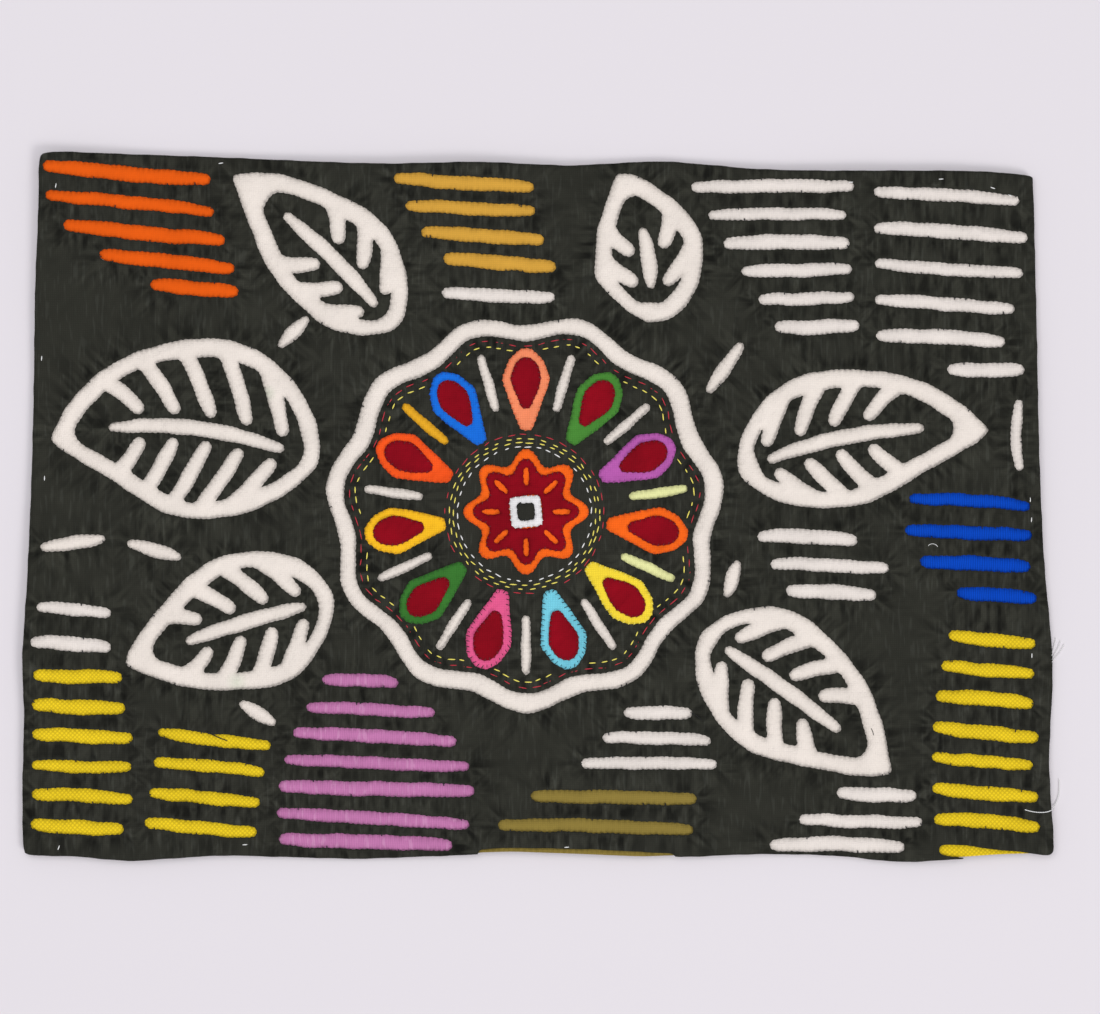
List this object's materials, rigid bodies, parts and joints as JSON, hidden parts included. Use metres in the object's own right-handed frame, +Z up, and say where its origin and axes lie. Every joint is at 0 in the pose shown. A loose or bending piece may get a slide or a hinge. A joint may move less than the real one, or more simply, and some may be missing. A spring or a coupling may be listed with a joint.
{
  "type": "mola panel",
  "caption": "Hand-sewn textile panel of layered cotton, charcoal over cream, with cut channels, coloured slits, leaf shapes and a round medallion of sewn-on patches.",
  "frame": {"origin": "middle of the panel's box on its underside, the face it lies on", "axes": "+X along the panel's length, to the right as it is seen from above; +Y across it, to its top rim; +Z up out of the worked face"},
  "size_m": [0.4305, 0.2966, 0.0062],
  "materials": {
    "blue": "matte woven cotton",
    "charcoal": "matte woven cotton",
    "cream": "matte woven cotton",
    "deep_green": "matte woven cotton",
    "gold": "matte woven cotton",
    "green": "matte woven cotton",
    "light_blue": "matte woven cotton",
    "ochre": "matte woven cotton",
    "olive": "matte woven cotton",
    "orange": "matte woven cotton",
    "pale_yellow": "matte woven cotton",
    "peach": "matte woven cotton",
    "pink": "matte woven cotton",
    "purple": "matte woven cotton",
    "red": "matte woven cotton",
    "rose": "matte woven cotton",
    "vermilion": "matte woven cotton",
    "white": "matte woven cotton",
    "yellow": "matte woven cotton"
  },
  "bodies": {
    "root": {"base_cloth": "cream", "eye": "charcoal", "eye_frame": "white", "flower_border": "orange", "flower_red": "red", "ground_cloth": "charcoal", "inlay_blue": "blue", "inlay_ochre": "ochre", "inlay_olive": "olive", "inlay_orange": "orange", "inlay_pink": "pink", "inlay_ray_10": "gold", "inlay_ray_3": "pale_yellow", "inlay_ray_4": "pale_yellow", "inlay_white_corner": "white", "inlay_white_foot": "white", "inlay_white_left": "white", "inlay_white_low_right": "white", "inlay_white_middle": "white", "inlay_white_ochre": "white", "inlay_white_short": "white", "inlay_white_top": "white", "inlay_white_upright": "white", "inlay_yellow_left": "yellow", "inlay_yellow_low": "yellow", "inlay_yellow_right": "yellow", "kite_01_border": "peach", "kite_01_centre": "red", "kite_02_border": "green", "kite_02_centre": "red", "kite_03_border": "purple", "kite_03_centre": "red", "kite_04_border": "orange", "kite_04_centre": "red", "kite_05_border": "yellow", "kite_05_centre": "red", "kite_06_border": "light_blue", "kite_06_centre": "red", "kite_07_border": "rose", "kite_07_centre": "red", "kite_08_border": "deep_green", "kite_08_centre": "red", "kite_09_border": "gold", "kite_09_centre": "red", "kite_10_border": "vermilion", "kite_10_centre": "red", "kite_11_border": "blue", "kite_11_centre": "red", "leaf_left_field": "charcoal", "leaf_low_left_field": "charcoal", "leaf_low_right_field": "charcoal", "leaf_right_field": "charcoal", "leaf_top_field": "charcoal", "leaf_top_left_field": "charcoal", "medallion_field": "charcoal"}
  },
  "joints": []
}
